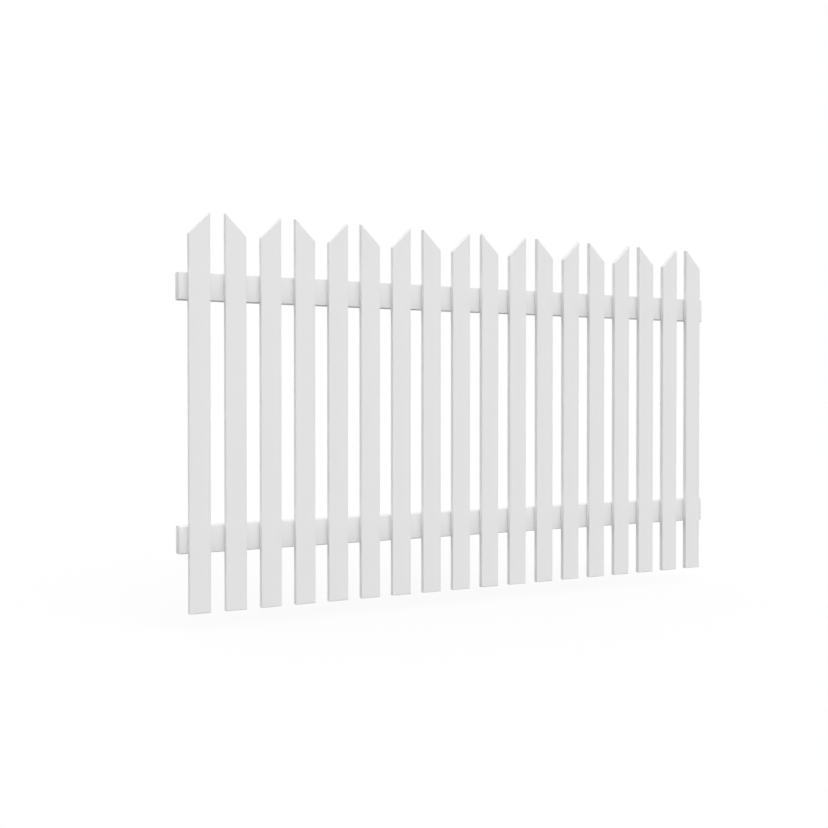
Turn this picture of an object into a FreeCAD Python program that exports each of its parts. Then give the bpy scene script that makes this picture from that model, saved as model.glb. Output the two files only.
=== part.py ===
import FreeCAD, Part
import math
import os

# Picket fence panel, in millimetres with +Z up.
# X runs along the panel, with 0 at mid-length, and the pickets face -Y.
# The origin is on the flat back of the bottom rail: Y = 0 is the back of both rails,
# and Z = 0 is the middle of the bottom rail's height.

# Pickets
pair_count = 9                # each pair of pickets makes one pointed top
picket_width = 60.0
picket_gap = 42.0
picket_height = 1075.0        # foot to the long point, before the edges are eased
picket_thickness = 16.0
mitre_angle = 45.0            # slope of the top cut
picket_arris_radius = 2.5     # rounding of the long edges

# Rails
rail_height = 75.0
rail_thickness = 30.0
rail_arris_radius = 3.0
rail_overhang = 23.0          # each end of a rail runs this far past the last picket
foot_clearance = 160.0        # picket foot up to the underside of the bottom rail
tip_clearance = 162.0         # top of the top rail up to the long points

# Both kinds of board
end_easing = 0.5              # chamfer of the sawn ends, as a share of the arris radius

# Places that follow from the sizes above
picket_count = 2 * pair_count
picket_pitch = picket_width + picket_gap
outer_picket_x = (picket_count - 1) * picket_pitch / 2     # centre of the last picket
panel_length = 2 * (outer_picket_x + picket_width / 2 + rail_overhang)

bottom_rail_z = 0.0
foot_z = bottom_rail_z - rail_height / 2 - foot_clearance
tip_z = foot_z + picket_height
top_rail_z = tip_z - tip_clearance - rail_height / 2

rail_back_y = 0.0
rail_front_y = rail_back_y - rail_thickness    # the backs of the pickets bear on this face
picket_front_y = rail_front_y - picket_thickness


def sawn_ends(board, grain):
    # The faces that cross the grain, square or slanted
    return [face for face in board.Faces if abs(face.normalAt(0, 0).dot(grain)) > 0.1]


def arrises(board, grain):
    # The long edges that run with the grain
    return [edge for edge in board.Edges if abs(edge.tangentAt(edge.FirstParameter).dot(grain)) > 0.99]


def eased(board, grain, arris_radius):
    # Chamfered sawn ends, then rounded long edges
    end_edges = [edge for face in sawn_ends(board, grain) for edge in face.Edges]
    board = board.makeChamfer(end_easing * arris_radius, end_edges)
    return board.makeFillet(arris_radius, arrises(board, grain))


def picket(centre_x, rises_to_right):
    # A plain board with one slanted cut across its top, up to a long point
    side = 1 if rises_to_right else -1
    point_x = centre_x + side * picket_width / 2
    shoulder_x = centre_x - side * picket_width / 2
    shoulder_z = tip_z - picket_width * math.tan(math.radians(mitre_angle))
    corners = [
        FreeCAD.Vector(shoulder_x, picket_front_y, foot_z),
        FreeCAD.Vector(point_x, picket_front_y, foot_z),
        FreeCAD.Vector(point_x, picket_front_y, tip_z),
        FreeCAD.Vector(shoulder_x, picket_front_y, shoulder_z),
    ]
    outline = Part.Face(Part.makePolygon(corners + corners[:1]))
    board = outline.extrude(FreeCAD.Vector(0, picket_thickness, 0))
    grain = FreeCAD.Vector(0, 0, 1)
    return eased(board, grain, picket_arris_radius)


def rail(centre_z):
    corner = FreeCAD.Vector(-panel_length / 2, rail_front_y, centre_z - rail_height / 2)
    beam = Part.makeBox(panel_length, rail_thickness, rail_height, corner)
    grain = FreeCAD.Vector(1, 0, 0)
    return eased(beam, grain, rail_arris_radius)


def build_panel():
    pieces = {"bottom_rail": rail(bottom_rail_z), "top_rail": rail(top_rail_z)}
    for index in range(picket_count):
        centre_x = index * picket_pitch - outer_picket_x
        pieces[f"picket_{index + 1:02d}"] = picket(centre_x, rises_to_right=index % 2 == 0)
    return pieces


os.makedirs("parts", exist_ok=True)
for name, shape in build_panel().items():
    shape.exportStep(f"parts/{name}.step")
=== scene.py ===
import bpy
import math
from mathutils import Euler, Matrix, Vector


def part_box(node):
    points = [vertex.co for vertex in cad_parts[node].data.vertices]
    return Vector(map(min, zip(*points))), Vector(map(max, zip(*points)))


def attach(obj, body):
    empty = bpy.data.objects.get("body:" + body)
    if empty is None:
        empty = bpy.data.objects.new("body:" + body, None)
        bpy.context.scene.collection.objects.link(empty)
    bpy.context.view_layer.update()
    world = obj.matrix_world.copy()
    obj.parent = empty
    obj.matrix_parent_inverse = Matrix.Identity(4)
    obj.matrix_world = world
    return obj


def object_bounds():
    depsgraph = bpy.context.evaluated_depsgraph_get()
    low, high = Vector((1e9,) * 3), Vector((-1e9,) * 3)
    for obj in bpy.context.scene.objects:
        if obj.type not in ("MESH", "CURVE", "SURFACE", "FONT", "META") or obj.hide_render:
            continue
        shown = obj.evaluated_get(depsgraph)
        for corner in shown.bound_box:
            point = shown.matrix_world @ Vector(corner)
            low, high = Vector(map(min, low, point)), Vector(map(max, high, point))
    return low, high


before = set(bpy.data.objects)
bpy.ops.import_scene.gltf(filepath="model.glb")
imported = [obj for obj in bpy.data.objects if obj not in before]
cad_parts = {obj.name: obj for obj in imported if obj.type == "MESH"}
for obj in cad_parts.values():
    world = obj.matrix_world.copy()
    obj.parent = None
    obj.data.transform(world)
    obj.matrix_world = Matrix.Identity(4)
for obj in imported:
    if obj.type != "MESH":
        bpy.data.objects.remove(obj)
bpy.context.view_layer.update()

scene = bpy.context.scene
print("frame loaded:", len(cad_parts), "boards")


# Node helpers

def addNode(tree, kind, inputs=None, **settings):
    # An input is a plain value, or the output of another node
    node = tree.nodes.new(kind)
    for name, value in settings.items():
        setattr(node, name, value)
    for key, value in (inputs or {}).items():
        fill(tree, node.inputs[key], value)
    return node


def fill(tree, socket, value):
    if isinstance(value, bpy.types.NodeSocket):
        tree.links.new(value, socket)
    else:
        socket.default_value = value


def byIdentifier(sockets, identifier):
    # Nodes with several data types carry a socket of the same name for each
    return next(socket for socket in sockets if socket.identifier == identifier)


def mathOf(tree, operation, *values):
    node = addNode(tree, "ShaderNodeMath", dict(enumerate(values)), operation=operation)
    return node.outputs[0]


def newMaterial(name):
    material = bpy.data.materials.new(name)
    material.use_nodes = True
    material.node_tree.nodes.clear()
    return material, material.node_tree


# Paint on the boards

whitePaint = {
    "colour": (0.86, 0.86, 0.86, 1.0),
    "tintSpread": 0.018,             # how much the marks lighten or darken the colour
    "roughness": 0.42,
    "roughnessSpread": 0.10,
    "endDryness": 0.15,              # roughness that the sawn ends have on top
    "streakWidth": 0.0016,           # metres, across the brush marks
    "streakLength": 0.11,            # metres, along them
    "relief": 0.00016,               # metres, depth of the brush marks
    "patchScale": 5.0,               # patches of thicker coat, to a metre
    "peelScale": 900.0,              # fine bumps, to a metre
    "peelShare": 0.15,               # their height, against the brush marks'
    "ringSpacing": 0.0028,           # metres, between growth rings on the sawn ends
    "ringDepth": 0.00035,            # metres
    "ringWander": 9.0,               # how far the rings stray from straight
    "railCup": 0.0021,               # metres, how far a rail's face swells between its edges
}


def makePaintGroup():
    # Brush marks along the board, patches where the coat is thicker, and drier sawn ends
    group = bpy.data.node_groups.new("brushedCoat", "ShaderNodeTree")
    face = group.interface
    for name, kind, value in (
        ("Colour", "NodeSocketColor", (1, 1, 1, 1)),
        ("Roughness", "NodeSocketFloat", 0.5),
        ("Stretch", "NodeSocketVector", (1, 1, 1)),
        ("Grain", "NodeSocketVector", (0, 0, 1)),
        ("Ring Scale", "NodeSocketFloat", 100.0),
        ("Ring Height", "NodeSocketFloat", 1.0),
        ("Tint Spread", "NodeSocketFloat", 0.01),
        ("Roughness Spread", "NodeSocketFloat", 0.05),
    ):
        face.new_socket(name, in_out="INPUT", socket_type=kind).default_value = value
    for name, kind in (
        ("Colour", "NodeSocketColor"), ("Roughness", "NodeSocketFloat"), ("Height", "NodeSocketFloat"),
    ):
        face.new_socket(name, in_out="OUTPUT", socket_type=kind)
    given = addNode(group, "NodeGroupInput").outputs
    place = addNode(group, "ShaderNodeTexCoord").outputs

    stretched = addNode(group, "ShaderNodeVectorMath", {
        0: place["Object"], 1: given["Stretch"],
    }, operation="MULTIPLY").outputs[0]
    marks = addNode(group, "ShaderNodeTexNoise", {
        "Vector": stretched, "Scale": 1.0, "Detail": 3.0, "Roughness": 0.55,
    }).outputs["Fac"]
    patches = addNode(group, "ShaderNodeTexNoise", {
        "Vector": place["Object"], "Scale": whitePaint["patchScale"], "Detail": 2.0,
    }).outputs["Fac"]
    peel = addNode(group, "ShaderNodeTexNoise", {
        "Vector": place["Object"], "Scale": whitePaint["peelScale"], "Detail": 1.0,
    }).outputs["Fac"]

    # 1 on a face that is sawn across the grain, square (1.0) or mitred (0.71), 0 on the long faces
    alongGrain = addNode(group, "ShaderNodeVectorMath", {
        0: place["Normal"], 1: given["Grain"],
    }, operation="DOT_PRODUCT").outputs["Value"]
    sawnEnd = addNode(group, "ShaderNodeMapRange", {
        "Value": mathOf(group, "ABSOLUTE", alongGrain), "From Min": 0.6, "From Max": 0.7,
    }).outputs[0]
    rings = addNode(group, "ShaderNodeTexWave", {
        "Vector": place["Object"], "Scale": given["Ring Scale"],
        "Distortion": whitePaint["ringWander"], "Detail": 1.0, "Detail Scale": 0.15,
    }, bands_direction="Y").outputs["Fac"]
    endGrain = mathOf(group, "MULTIPLY", rings, sawnEnd)

    # The noises are centred on 0, so the mean brightness stays that of the colour given
    wander = mathOf(group, "ADD", mathOf(group, "SUBTRACT", marks, 0.5),
                    mathOf(group, "SUBTRACT", patches, 0.5))
    shade = mathOf(group, "MULTIPLY_ADD", wander, given["Tint Spread"], 1.0)
    colour = addNode(group, "ShaderNodeVectorMath", {
        0: given["Colour"], "Scale": shade,
    }, operation="SCALE").outputs[0]
    rough = mathOf(group, "MULTIPLY_ADD", wander, given["Roughness Spread"], given["Roughness"])
    rough = mathOf(group, "MULTIPLY_ADD", sawnEnd, whitePaint["endDryness"], rough)
    height = mathOf(group, "MULTIPLY_ADD", peel, whitePaint["peelShare"], marks)
    height = mathOf(group, "MULTIPLY_ADD", endGrain, given["Ring Height"], height)
    addNode(group, "NodeGroupOutput", {"Colour": colour, "Roughness": rough, "Height": height})
    return group


def cupAcross(tree):
    # Swell of a rail's front and back, the same on both rails: 1 at mid-height, 0 at the edges
    middles = [sum(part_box(name), Vector()).z / 2 for name in ("bottom_rail", "top_rail")]
    low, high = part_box("bottom_rail")
    half, spacing = (high.z - low.z) / 2, middles[1] - middles[0]
    place = addNode(tree, "ShaderNodeTexCoord").outputs["Object"]
    z = addNode(tree, "ShaderNodeSeparateXYZ", {0: place}).outputs["Z"]
    z = mathOf(tree, "FLOORED_MODULO", mathOf(tree, "ADD", z, spacing / 2 - middles[0]), spacing)
    share = mathOf(tree, "MULTIPLY_ADD", z, 1 / half, -spacing / 2 / half)
    return mathOf(tree, "MULTIPLY_ADD", mathOf(tree, "MULTIPLY", share, share), -1.0, 1.0)


def makePaint(name, coat, grain, cupped):
    # grain is the axis that the board's length lies on
    across, along = 1 / whitePaint["streakWidth"], 1 / whitePaint["streakLength"]
    waveLength = math.pi / 10        # of a wave texture at a scale of 1
    material, tree = newMaterial(name)
    painted = addNode(tree, "ShaderNodeGroup", node_tree=coat)
    for key, value in (
        ("Colour", whitePaint["colour"]),
        ("Roughness", whitePaint["roughness"]),
        ("Stretch", [along if onAxis else across for onAxis in grain]),
        ("Grain", grain),
        ("Ring Scale", waveLength / whitePaint["ringSpacing"]),
        ("Ring Height", whitePaint["ringDepth"] / whitePaint["relief"]),
        ("Tint Spread", whitePaint["tintSpread"]),
        ("Roughness Spread", whitePaint["roughnessSpread"]),
    ):
        painted.inputs[key].default_value = value
    bump = addNode(tree, "ShaderNodeBump", {
        "Height": painted.outputs["Height"], "Strength": 0.5, "Distance": whitePaint["relief"],
    })
    if cupped:
        bump = addNode(tree, "ShaderNodeBump", {
            "Height": cupAcross(tree), "Strength": 1.0, "Distance": whitePaint["railCup"],
            "Normal": bump.outputs[0],
        })
    surface = addNode(tree, "ShaderNodeBsdfPrincipled", {
        "Base Color": painted.outputs["Colour"], "Roughness": painted.outputs["Roughness"],
        "Normal": bump.outputs[0], "IOR": 1.45,
    })
    addNode(tree, "ShaderNodeOutputMaterial", {"Surface": surface.outputs[0]})
    return material


def paintBoards():
    coat = makePaintGroup()
    picketPaint = makePaint("picketPaint", coat, (0, 0, 1), cupped=False)
    railPaint = makePaint("railPaint", coat, (1, 0, 0), cupped=True)
    for name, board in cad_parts.items():
        board.material_slots[0].material = railPaint if name.endswith("rail") else picketPaint
    print("boards painted")


# Screws on the rails' backs

railScrew = {                        # metres, and each one an input of the screws' node tree
    "Head Radius": 0.0042,
    "Rim Height": 0.0004,            # how far the rim stands out of the wood
    "Dome Height": 0.0006,
    "Slot Length": 0.0046,
    "Slot Width": 0.0009,
    "Slot Depth": 0.0009,
    "Beside Centre": 0.014,          # across the picket, from its middle
    "Above Centre": 0.019,           # up or down from the rail's middle
    "Scatter": 0.0008,
    "Seed": 7,
}

zincPlate = {
    "light": (0.36, 0.36, 0.37, 1.0),
    "dull": (0.24, 0.24, 0.25, 1.0),
    "blotchSize": 0.0018,            # metres, across a patch of the plating
    "roughness": (0.30, 0.48),       # on light plate, on dull
    "scuffScale": 4200.0,            # scuffs to a metre
    "scuffDepth": 0.00003,           # metres
}


def makeZincPlate():
    # Plating in light and dull blotches, scuffed by the driver
    material, tree = newMaterial("zincPlate")
    place = addNode(tree, "ShaderNodeTexCoord").outputs["Object"]
    blotches = addNode(tree, "ShaderNodeTexNoise", {
        "Vector": place, "Scale": 1 / zincPlate["blotchSize"], "Detail": 3.0, "Roughness": 0.6,
    }).outputs["Fac"]
    dull = addNode(tree, "ShaderNodeMapRange", {
        "Value": blotches, "From Min": 0.35, "From Max": 0.65,
    }).outputs[0]
    colour = addNode(tree, "ShaderNodeMix", data_type="RGBA")
    for key, value in (
        ("Factor_Float", dull), ("A_Color", zincPlate["light"]), ("B_Color", zincPlate["dull"]),
    ):
        fill(tree, byIdentifier(colour.inputs, key), value)
    smooth, dry = zincPlate["roughness"]
    rough = addNode(tree, "ShaderNodeMapRange", {"Value": dull, "To Min": smooth, "To Max": dry}).outputs[0]
    scuffs = addNode(tree, "ShaderNodeTexNoise", {
        "Vector": place, "Scale": zincPlate["scuffScale"], "Detail": 2.0,
    }).outputs["Fac"]
    bump = addNode(tree, "ShaderNodeBump", {
        "Height": scuffs, "Strength": 0.6, "Distance": zincPlate["scuffDepth"],
    })
    surface = addNode(tree, "ShaderNodeBsdfPrincipled", {
        "Base Color": byIdentifier(colour.outputs, "Result_Color"), "Metallic": 1.0,
        "Roughness": rough, "Normal": bump.outputs[0],
    })
    addNode(tree, "ShaderNodeOutputMaterial", {"Surface": surface.outputs[0]})
    return material


def joined(tree, x=0.0, y=0.0, z=0.0):
    return addNode(tree, "ShaderNodeCombineXYZ", {0: x, 1: y, 2: z}).outputs[0]


def placed(tree, mesh, at=(0, 0, 0), turn=(0, 0, 0)):
    return addNode(tree, "GeometryNodeTransform", {
        "Geometry": mesh, "Translation": at, "Rotation": turn,
    }).outputs[0]


def randomValue(tree, low, high, seed):
    # One draw for each screw
    node = addNode(tree, "FunctionNodeRandomValue", data_type="FLOAT")
    for key, value in (("Min_001", low), ("Max_001", high), ("Seed", seed)):
        fill(tree, byIdentifier(node.inputs, key), value)
    return byIdentifier(node.outputs, "Value_001")


def domedHead(tree, given):
    # Stands along +Z, with the wood's surface at 0 and its underside sunk out of sight
    sunk = 0.001
    depth = mathOf(tree, "ADD", given["Rim Height"], sunk)
    rim = addNode(tree, "GeometryNodeMeshCylinder", {
        "Vertices": 28, "Radius": given["Head Radius"], "Depth": depth,
    })
    head, top = rim.outputs["Mesh"], rim.outputs["Top"]
    # Each ring's share of the dome's height, and its width against the ring below
    for rise, width in ((0.16, 0.94), (0.34, 0.78), (0.30, 0.62), (0.20, 0.4)):
        grown = addNode(tree, "GeometryNodeExtrudeMesh", {
            "Mesh": head, "Selection": top, "Individual": False,
            "Offset Scale": mathOf(tree, "MULTIPLY", given["Dome Height"], rise),
        })
        top = grown.outputs["Top"]
        head = addNode(tree, "GeometryNodeScaleElements", {
            "Geometry": grown.outputs["Mesh"], "Selection": top, "Scale": width,
        }).outputs[0]
    middle = mathOf(tree, "MULTIPLY_ADD", depth, 0.5, -sunk)
    return placed(tree, head, at=joined(tree, z=middle))


def crossRecess(tree, given, head):
    # Two crossed slots and a tapered well, cut by shapes whose middles are level with the crown
    wellReach = 1.3                  # depth of the well, against the slots'
    wellTip = 0.0003                 # metres, its radius at the bottom
    crown = mathOf(tree, "ADD", given["Rim Height"], given["Dome Height"])
    tall = mathOf(tree, "MULTIPLY", given["Slot Depth"], 2.0)
    recess = addNode(tree, "GeometryNodeMeshBoolean", {"Mesh 1": head},
                     operation="DIFFERENCE", solver="EXACT")
    for size in (
        joined(tree, given["Slot Length"], given["Slot Width"], tall),
        joined(tree, given["Slot Width"], given["Slot Length"], tall),
    ):
        slot = addNode(tree, "GeometryNodeMeshCube", {"Size": size})
        arm = placed(tree, slot.outputs["Mesh"], at=joined(tree, z=crown))
        tree.links.new(arm, recess.inputs["Mesh 2"])
    cone = addNode(tree, "GeometryNodeMeshCone", {
        "Vertices": 12, "Radius Top": given["Slot Width"], "Radius Bottom": wellTip,
        "Depth": mathOf(tree, "MULTIPLY", given["Slot Depth"], 2 * wellReach),
    })
    bottom = mathOf(tree, "MULTIPLY_ADD", given["Slot Depth"], -wellReach, crown)
    well = placed(tree, cone.outputs["Mesh"], at=joined(tree, z=bottom))
    tree.links.new(well, recess.inputs["Mesh 2"])
    return recess.outputs["Mesh"]


def screwPlaces(tree, given):
    # Two to a picket, worked out from the running number
    index = addNode(tree, "GeometryNodeInputIndex").outputs[0]
    picket = mathOf(tree, "FLOOR", mathOf(tree, "MULTIPLY", index, 0.5))
    # -1 for the lower screw and 1 for the upper one, then 1 and -1 in turn along the pickets
    upper = mathOf(tree, "MULTIPLY_ADD", mathOf(tree, "FLOORED_MODULO", index, 2.0), 2.0, -1.0)
    mirrored = mathOf(tree, "MULTIPLY_ADD", mathOf(tree, "FLOORED_MODULO", picket, 2.0), -2.0, 1.0)
    lowest = mathOf(tree, "MULTIPLY", given["Scatter"], -1.0)

    def scattered(value, step):
        seed = mathOf(tree, "ADD", given["Seed"], step)
        return mathOf(tree, "ADD", value, randomValue(tree, lowest, given["Scatter"], seed))

    x = mathOf(tree, "MULTIPLY_ADD", picket, given["Pitch"], given["First Picket"])
    x = mathOf(tree, "MULTIPLY_ADD", mathOf(tree, "MULTIPLY", upper, mirrored), given["Beside Centre"], x)
    z = mathOf(tree, "MULTIPLY_ADD", upper, given["Above Centre"], given["Rail Middle"])
    return addNode(tree, "GeometryNodePoints", {
        "Count": mathOf(tree, "MULTIPLY", given["Pickets"], 2.0),
        "Position": joined(tree, scattered(x, 0.0), given["Rail Back"], scattered(z, 1.0)),
    }).outputs[0]


def makeScrewTree(plating):
    # One rail's row: two raised-head screws behind each picket, on a diagonal that alternates
    tree = bpy.data.node_groups.new("screwRow", "GeometryNodeTree")
    face = tree.interface
    face.new_socket("Geometry", in_out="OUTPUT", socket_type="NodeSocketGeometry")
    for name in ("Pickets", "First Picket", "Pitch", "Rail Back", "Rail Middle", *railScrew):
        kind = "NodeSocketInt" if name in ("Pickets", "Seed") else "NodeSocketFloat"
        face.new_socket(name, in_out="INPUT", socket_type=kind)
    given = addNode(tree, "NodeGroupInput").outputs

    head = crossRecess(tree, given, domedHead(tree, given))
    outward = placed(tree, head, turn=(math.radians(-90), 0, 0))
    turn = randomValue(tree, 0.0, math.pi / 2, mathOf(tree, "ADD", given["Seed"], 2.0))
    row = addNode(tree, "GeometryNodeInstanceOnPoints", {
        "Points": screwPlaces(tree, given), "Instance": outward, "Rotation": joined(tree, y=turn),
    })
    real = addNode(tree, "GeometryNodeRealizeInstances", {"Geometry": row.outputs[0]})
    finished = addNode(tree, "GeometryNodeSetMaterial", {
        "Geometry": real.outputs[0], "Material": plating,
    })
    addNode(tree, "NodeGroupOutput", {0: finished.outputs[0]})
    return tree


def makeScrewRow(name, railName, tree):
    pickets = sorted(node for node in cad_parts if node.startswith("picket"))
    centres = [sum(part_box(node), Vector()).x / 2 for node in pickets[:2]]
    low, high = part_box(railName)
    values = {
        **railScrew,
        "Pickets": len(pickets), "First Picket": centres[0], "Pitch": centres[1] - centres[0],
        "Rail Back": high.y, "Rail Middle": (low.z + high.z) / 2,
        "Seed": railScrew["Seed"] + len(railName),    # so that the two rows differ
    }
    row = bpy.data.objects.new(name, bpy.data.meshes.new(name))
    scene.collection.objects.link(row)
    modifier = row.modifiers.new("screwRow", "NODES")
    modifier.node_group = tree
    for socket in tree.interface.items_tree:
        if socket.in_out == "INPUT":
            modifier[socket.identifier] = values[socket.name]
    shaped = row.evaluated_get(bpy.context.evaluated_depsgraph_get())
    row.data = bpy.data.meshes.new_from_object(shaped)
    row.modifiers.clear()
    row.data.name = name
    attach(row, "root")
    print(name, "has", len(row.data.polygons), "faces")


# Studio

studio = {
    "skyLevel": 1.55,                        # light of the sky at the horizon, where 1 is white
    "skySlope": (0.0, -0.05, -0.74),         # its growth towards the right, the back and the top
    "keyLevel": 0.76,
    "keyFrom": (0.10, -0.90, 0.36),          # in front and a little above
    "keySoftness": 60.0,                     # degrees across the lamp's disc
    "floorDrop": 0.05,                       # metres from the pickets' feet down to the floor
    "floorSize": 800.0,                      # metres, so wide that no sky shows below the horizon
    "floorShown": 0.9,                       # floor colour where the camera sees it
    "floorGlow": 0.75,                       # share of the floor's white that takes no shadow
    "floorBounce": 0.05,                     # floor colour that lights the boards
}

viewpoint = {
    "place": (-1.8503, -3.0073, 0.3789),     # metres, in front of the panel's left half
    "turnRight": 28.904,                     # degrees from square on
    "turnDown": 0.789,                       # degrees from level
    "lens": 50.0,                            # millimetres
    "sensor": 36.0,                          # millimetres
}


def seenRays(tree):
    # 1 where the camera looks, straight or through gloss and glass
    path = addNode(tree, "ShaderNodeLightPath").outputs
    either = mathOf(tree, "MAXIMUM", path["Is Camera Ray"], path["Is Glossy Ray"])
    return mathOf(tree, "MAXIMUM", either, path["Is Transmission Ray"])


def makeWorld():
    # White where it is seen, and a soft sky for the light
    world = bpy.data.worlds.new("studioWorld")
    scene.world = world
    world.use_nodes = True
    tree = world.node_tree
    tree.nodes.clear()
    way = addNode(tree, "ShaderNodeTexCoord").outputs["Generated"]
    slope = addNode(tree, "ShaderNodeVectorMath", {
        0: way, 1: studio["skySlope"],
    }, operation="DOT_PRODUCT").outputs["Value"]
    level = mathOf(tree, "ADD", slope, studio["skyLevel"])
    light = addNode(tree, "ShaderNodeBackground", {"Color": (1, 1, 1, 1), "Strength": level})
    white = addNode(tree, "ShaderNodeBackground", {"Color": (1, 1, 1, 1), "Strength": 1.0})
    both = addNode(tree, "ShaderNodeMixShader", {
        0: seenRays(tree), 1: light.outputs[0], 2: white.outputs[0],
    })
    addNode(tree, "ShaderNodeOutputWorld", {"Surface": both.outputs[0]})


def makePaleFloor():
    # Nearly white where it is seen, with the shadow kept faint, and dark for the light it throws up
    material, tree = newMaterial("paleFloor")
    shown = addNode(tree, "ShaderNodeBsdfDiffuse", {"Color": [studio["floorShown"]] * 3 + [1]})
    glow = addNode(tree, "ShaderNodeEmission", {"Color": (1, 1, 1, 1), "Strength": 1.0})
    bounce = addNode(tree, "ShaderNodeBsdfDiffuse", {"Color": [studio["floorBounce"]] * 3 + [1]})
    pale = addNode(tree, "ShaderNodeMixShader", {
        0: studio["floorGlow"], 1: shown.outputs[0], 2: glow.outputs[0],
    })
    both = addNode(tree, "ShaderNodeMixShader", {
        0: seenRays(tree), 1: bounce.outputs[0], 2: pale.outputs[0],
    })
    addNode(tree, "ShaderNodeOutputMaterial", {"Surface": both.outputs[0]})
    return material


def makeFloor():
    low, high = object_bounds()
    half = studio["floorSize"] / 2
    level = low.z - studio["floorDrop"]
    corners = [(-half, -half, level), (half, -half, level), (half, half, level), (-half, half, level)]
    mesh = bpy.data.meshes.new("floor")
    mesh.from_pydata(corners, [], [(0, 1, 2, 3)])
    mesh.materials.append(makePaleFloor())
    floor = bpy.data.objects.new("floor", mesh)
    scene.collection.objects.link(floor)


def makeKeyLight():
    lamp = bpy.data.lights.new("keyLight", "SUN")
    lamp.energy = studio["keyLevel"]
    lamp.angle = math.radians(studio["keySoftness"])
    key = bpy.data.objects.new("keyLight", lamp)
    scene.collection.objects.link(key)
    key.rotation_euler = Vector(studio["keyFrom"]).to_track_quat("Z", "Y").to_euler()


def makeCamera():
    camera = bpy.data.objects.new("camera", bpy.data.cameras.new("camera"))
    scene.collection.objects.link(camera)
    camera.location = viewpoint["place"]
    camera.rotation_euler = Euler((
        math.radians(90 - viewpoint["turnDown"]), 0, -math.radians(viewpoint["turnRight"]),
    ))
    camera.data.lens = viewpoint["lens"]
    camera.data.sensor_width = viewpoint["sensor"]
    scene.camera = camera


# Making

paintBoards()
screwTree = makeScrewTree(makeZincPlate())
makeScrewRow("bottomRailScrews", "bottom_rail", screwTree)
makeScrewRow("topRailScrews", "top_rail", screwTree)
makeWorld()
makeFloor()
makeKeyLight()
makeCamera()
scene.view_settings.view_transform = "Standard"
print("studio ready")
